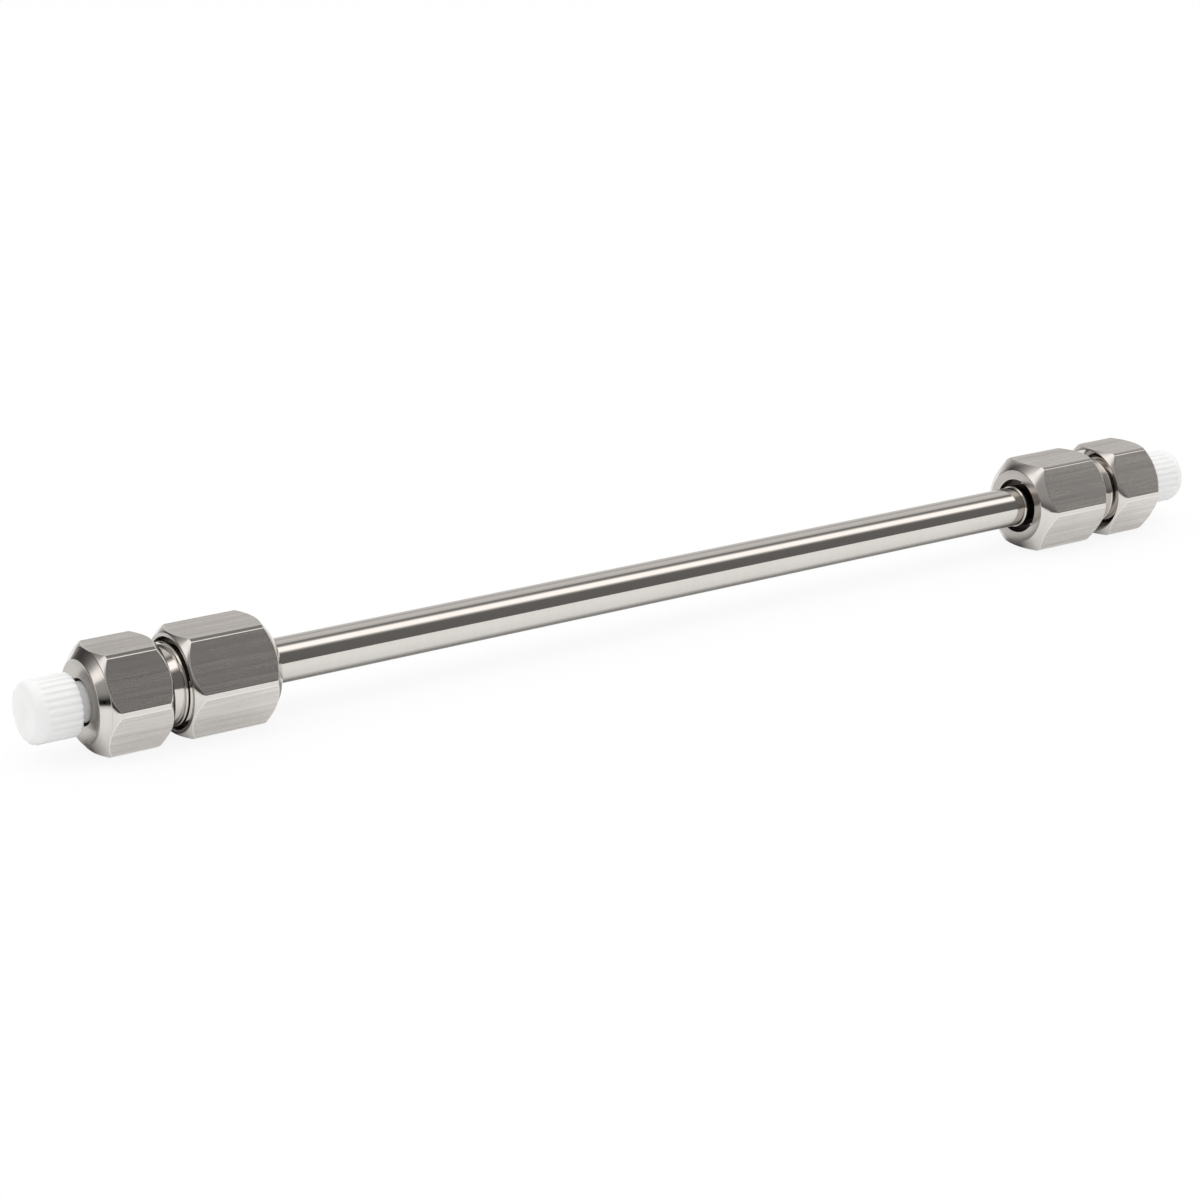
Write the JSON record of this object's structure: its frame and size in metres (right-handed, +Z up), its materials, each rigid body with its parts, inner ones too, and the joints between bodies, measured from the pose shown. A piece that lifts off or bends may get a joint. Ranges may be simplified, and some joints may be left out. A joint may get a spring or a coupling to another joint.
{
  "type": "hplc column",
  "caption": "Straight steel chromatography tube with a hexagonal nut and end fitting at each end, and a ribbed plastic plug in each port.",
  "frame": {"origin": "middle of the tube, on its axis", "axes": "+X along the tube from the inlet end to the outlet end, +Z up, square to the flats the column rests on"},
  "size_m": [0.2112, 0.016, 0.0142],
  "materials": {
    "tube_steel": "polished",
    "turned_steel": "fine turned and brushed",
    "inner_steel": "turned",
    "sintered_steel": "sintered",
    "seal_plastic": "natural",
    "packing": "packed powder",
    "plug_plastic": "moulded, slightly translucent"
  },
  "bodies": {
    "column": {"column_tube": "tube_steel", "packed_bed": "packing", "inlet_frit": "sintered_steel", "inlet_frit_ring": "seal_plastic", "inlet_front_ferrule": "inner_steel", "inlet_back_ferrule": "inner_steel", "inlet_collar": "inner_steel", "inlet_nut": "turned_steel", "inlet_end_fitting": "turned_steel", "outlet_frit": "sintered_steel", "outlet_frit_ring": "seal_plastic", "outlet_front_ferrule": "inner_steel", "outlet_back_ferrule": "inner_steel", "outlet_collar": "inner_steel", "outlet_nut": "turned_steel", "outlet_end_fitting": "turned_steel"},
    "inlet_plug": {"inlet_plug": "plug_plastic"},
    "outlet_plug": {"outlet_plug": "plug_plastic"}
  },
  "joints": [
    {"name": "inlet_plug_out", "type": "slide", "parent": "column", "child": "inlet_plug", "axis": [-1, 0, 0], "range_m": [0, 0.01]},
    {"name": "outlet_plug_out", "type": "slide", "parent": "column", "child": "outlet_plug", "axis": [1, 0, 0], "range_m": [0, 0.01]}
  ]
}
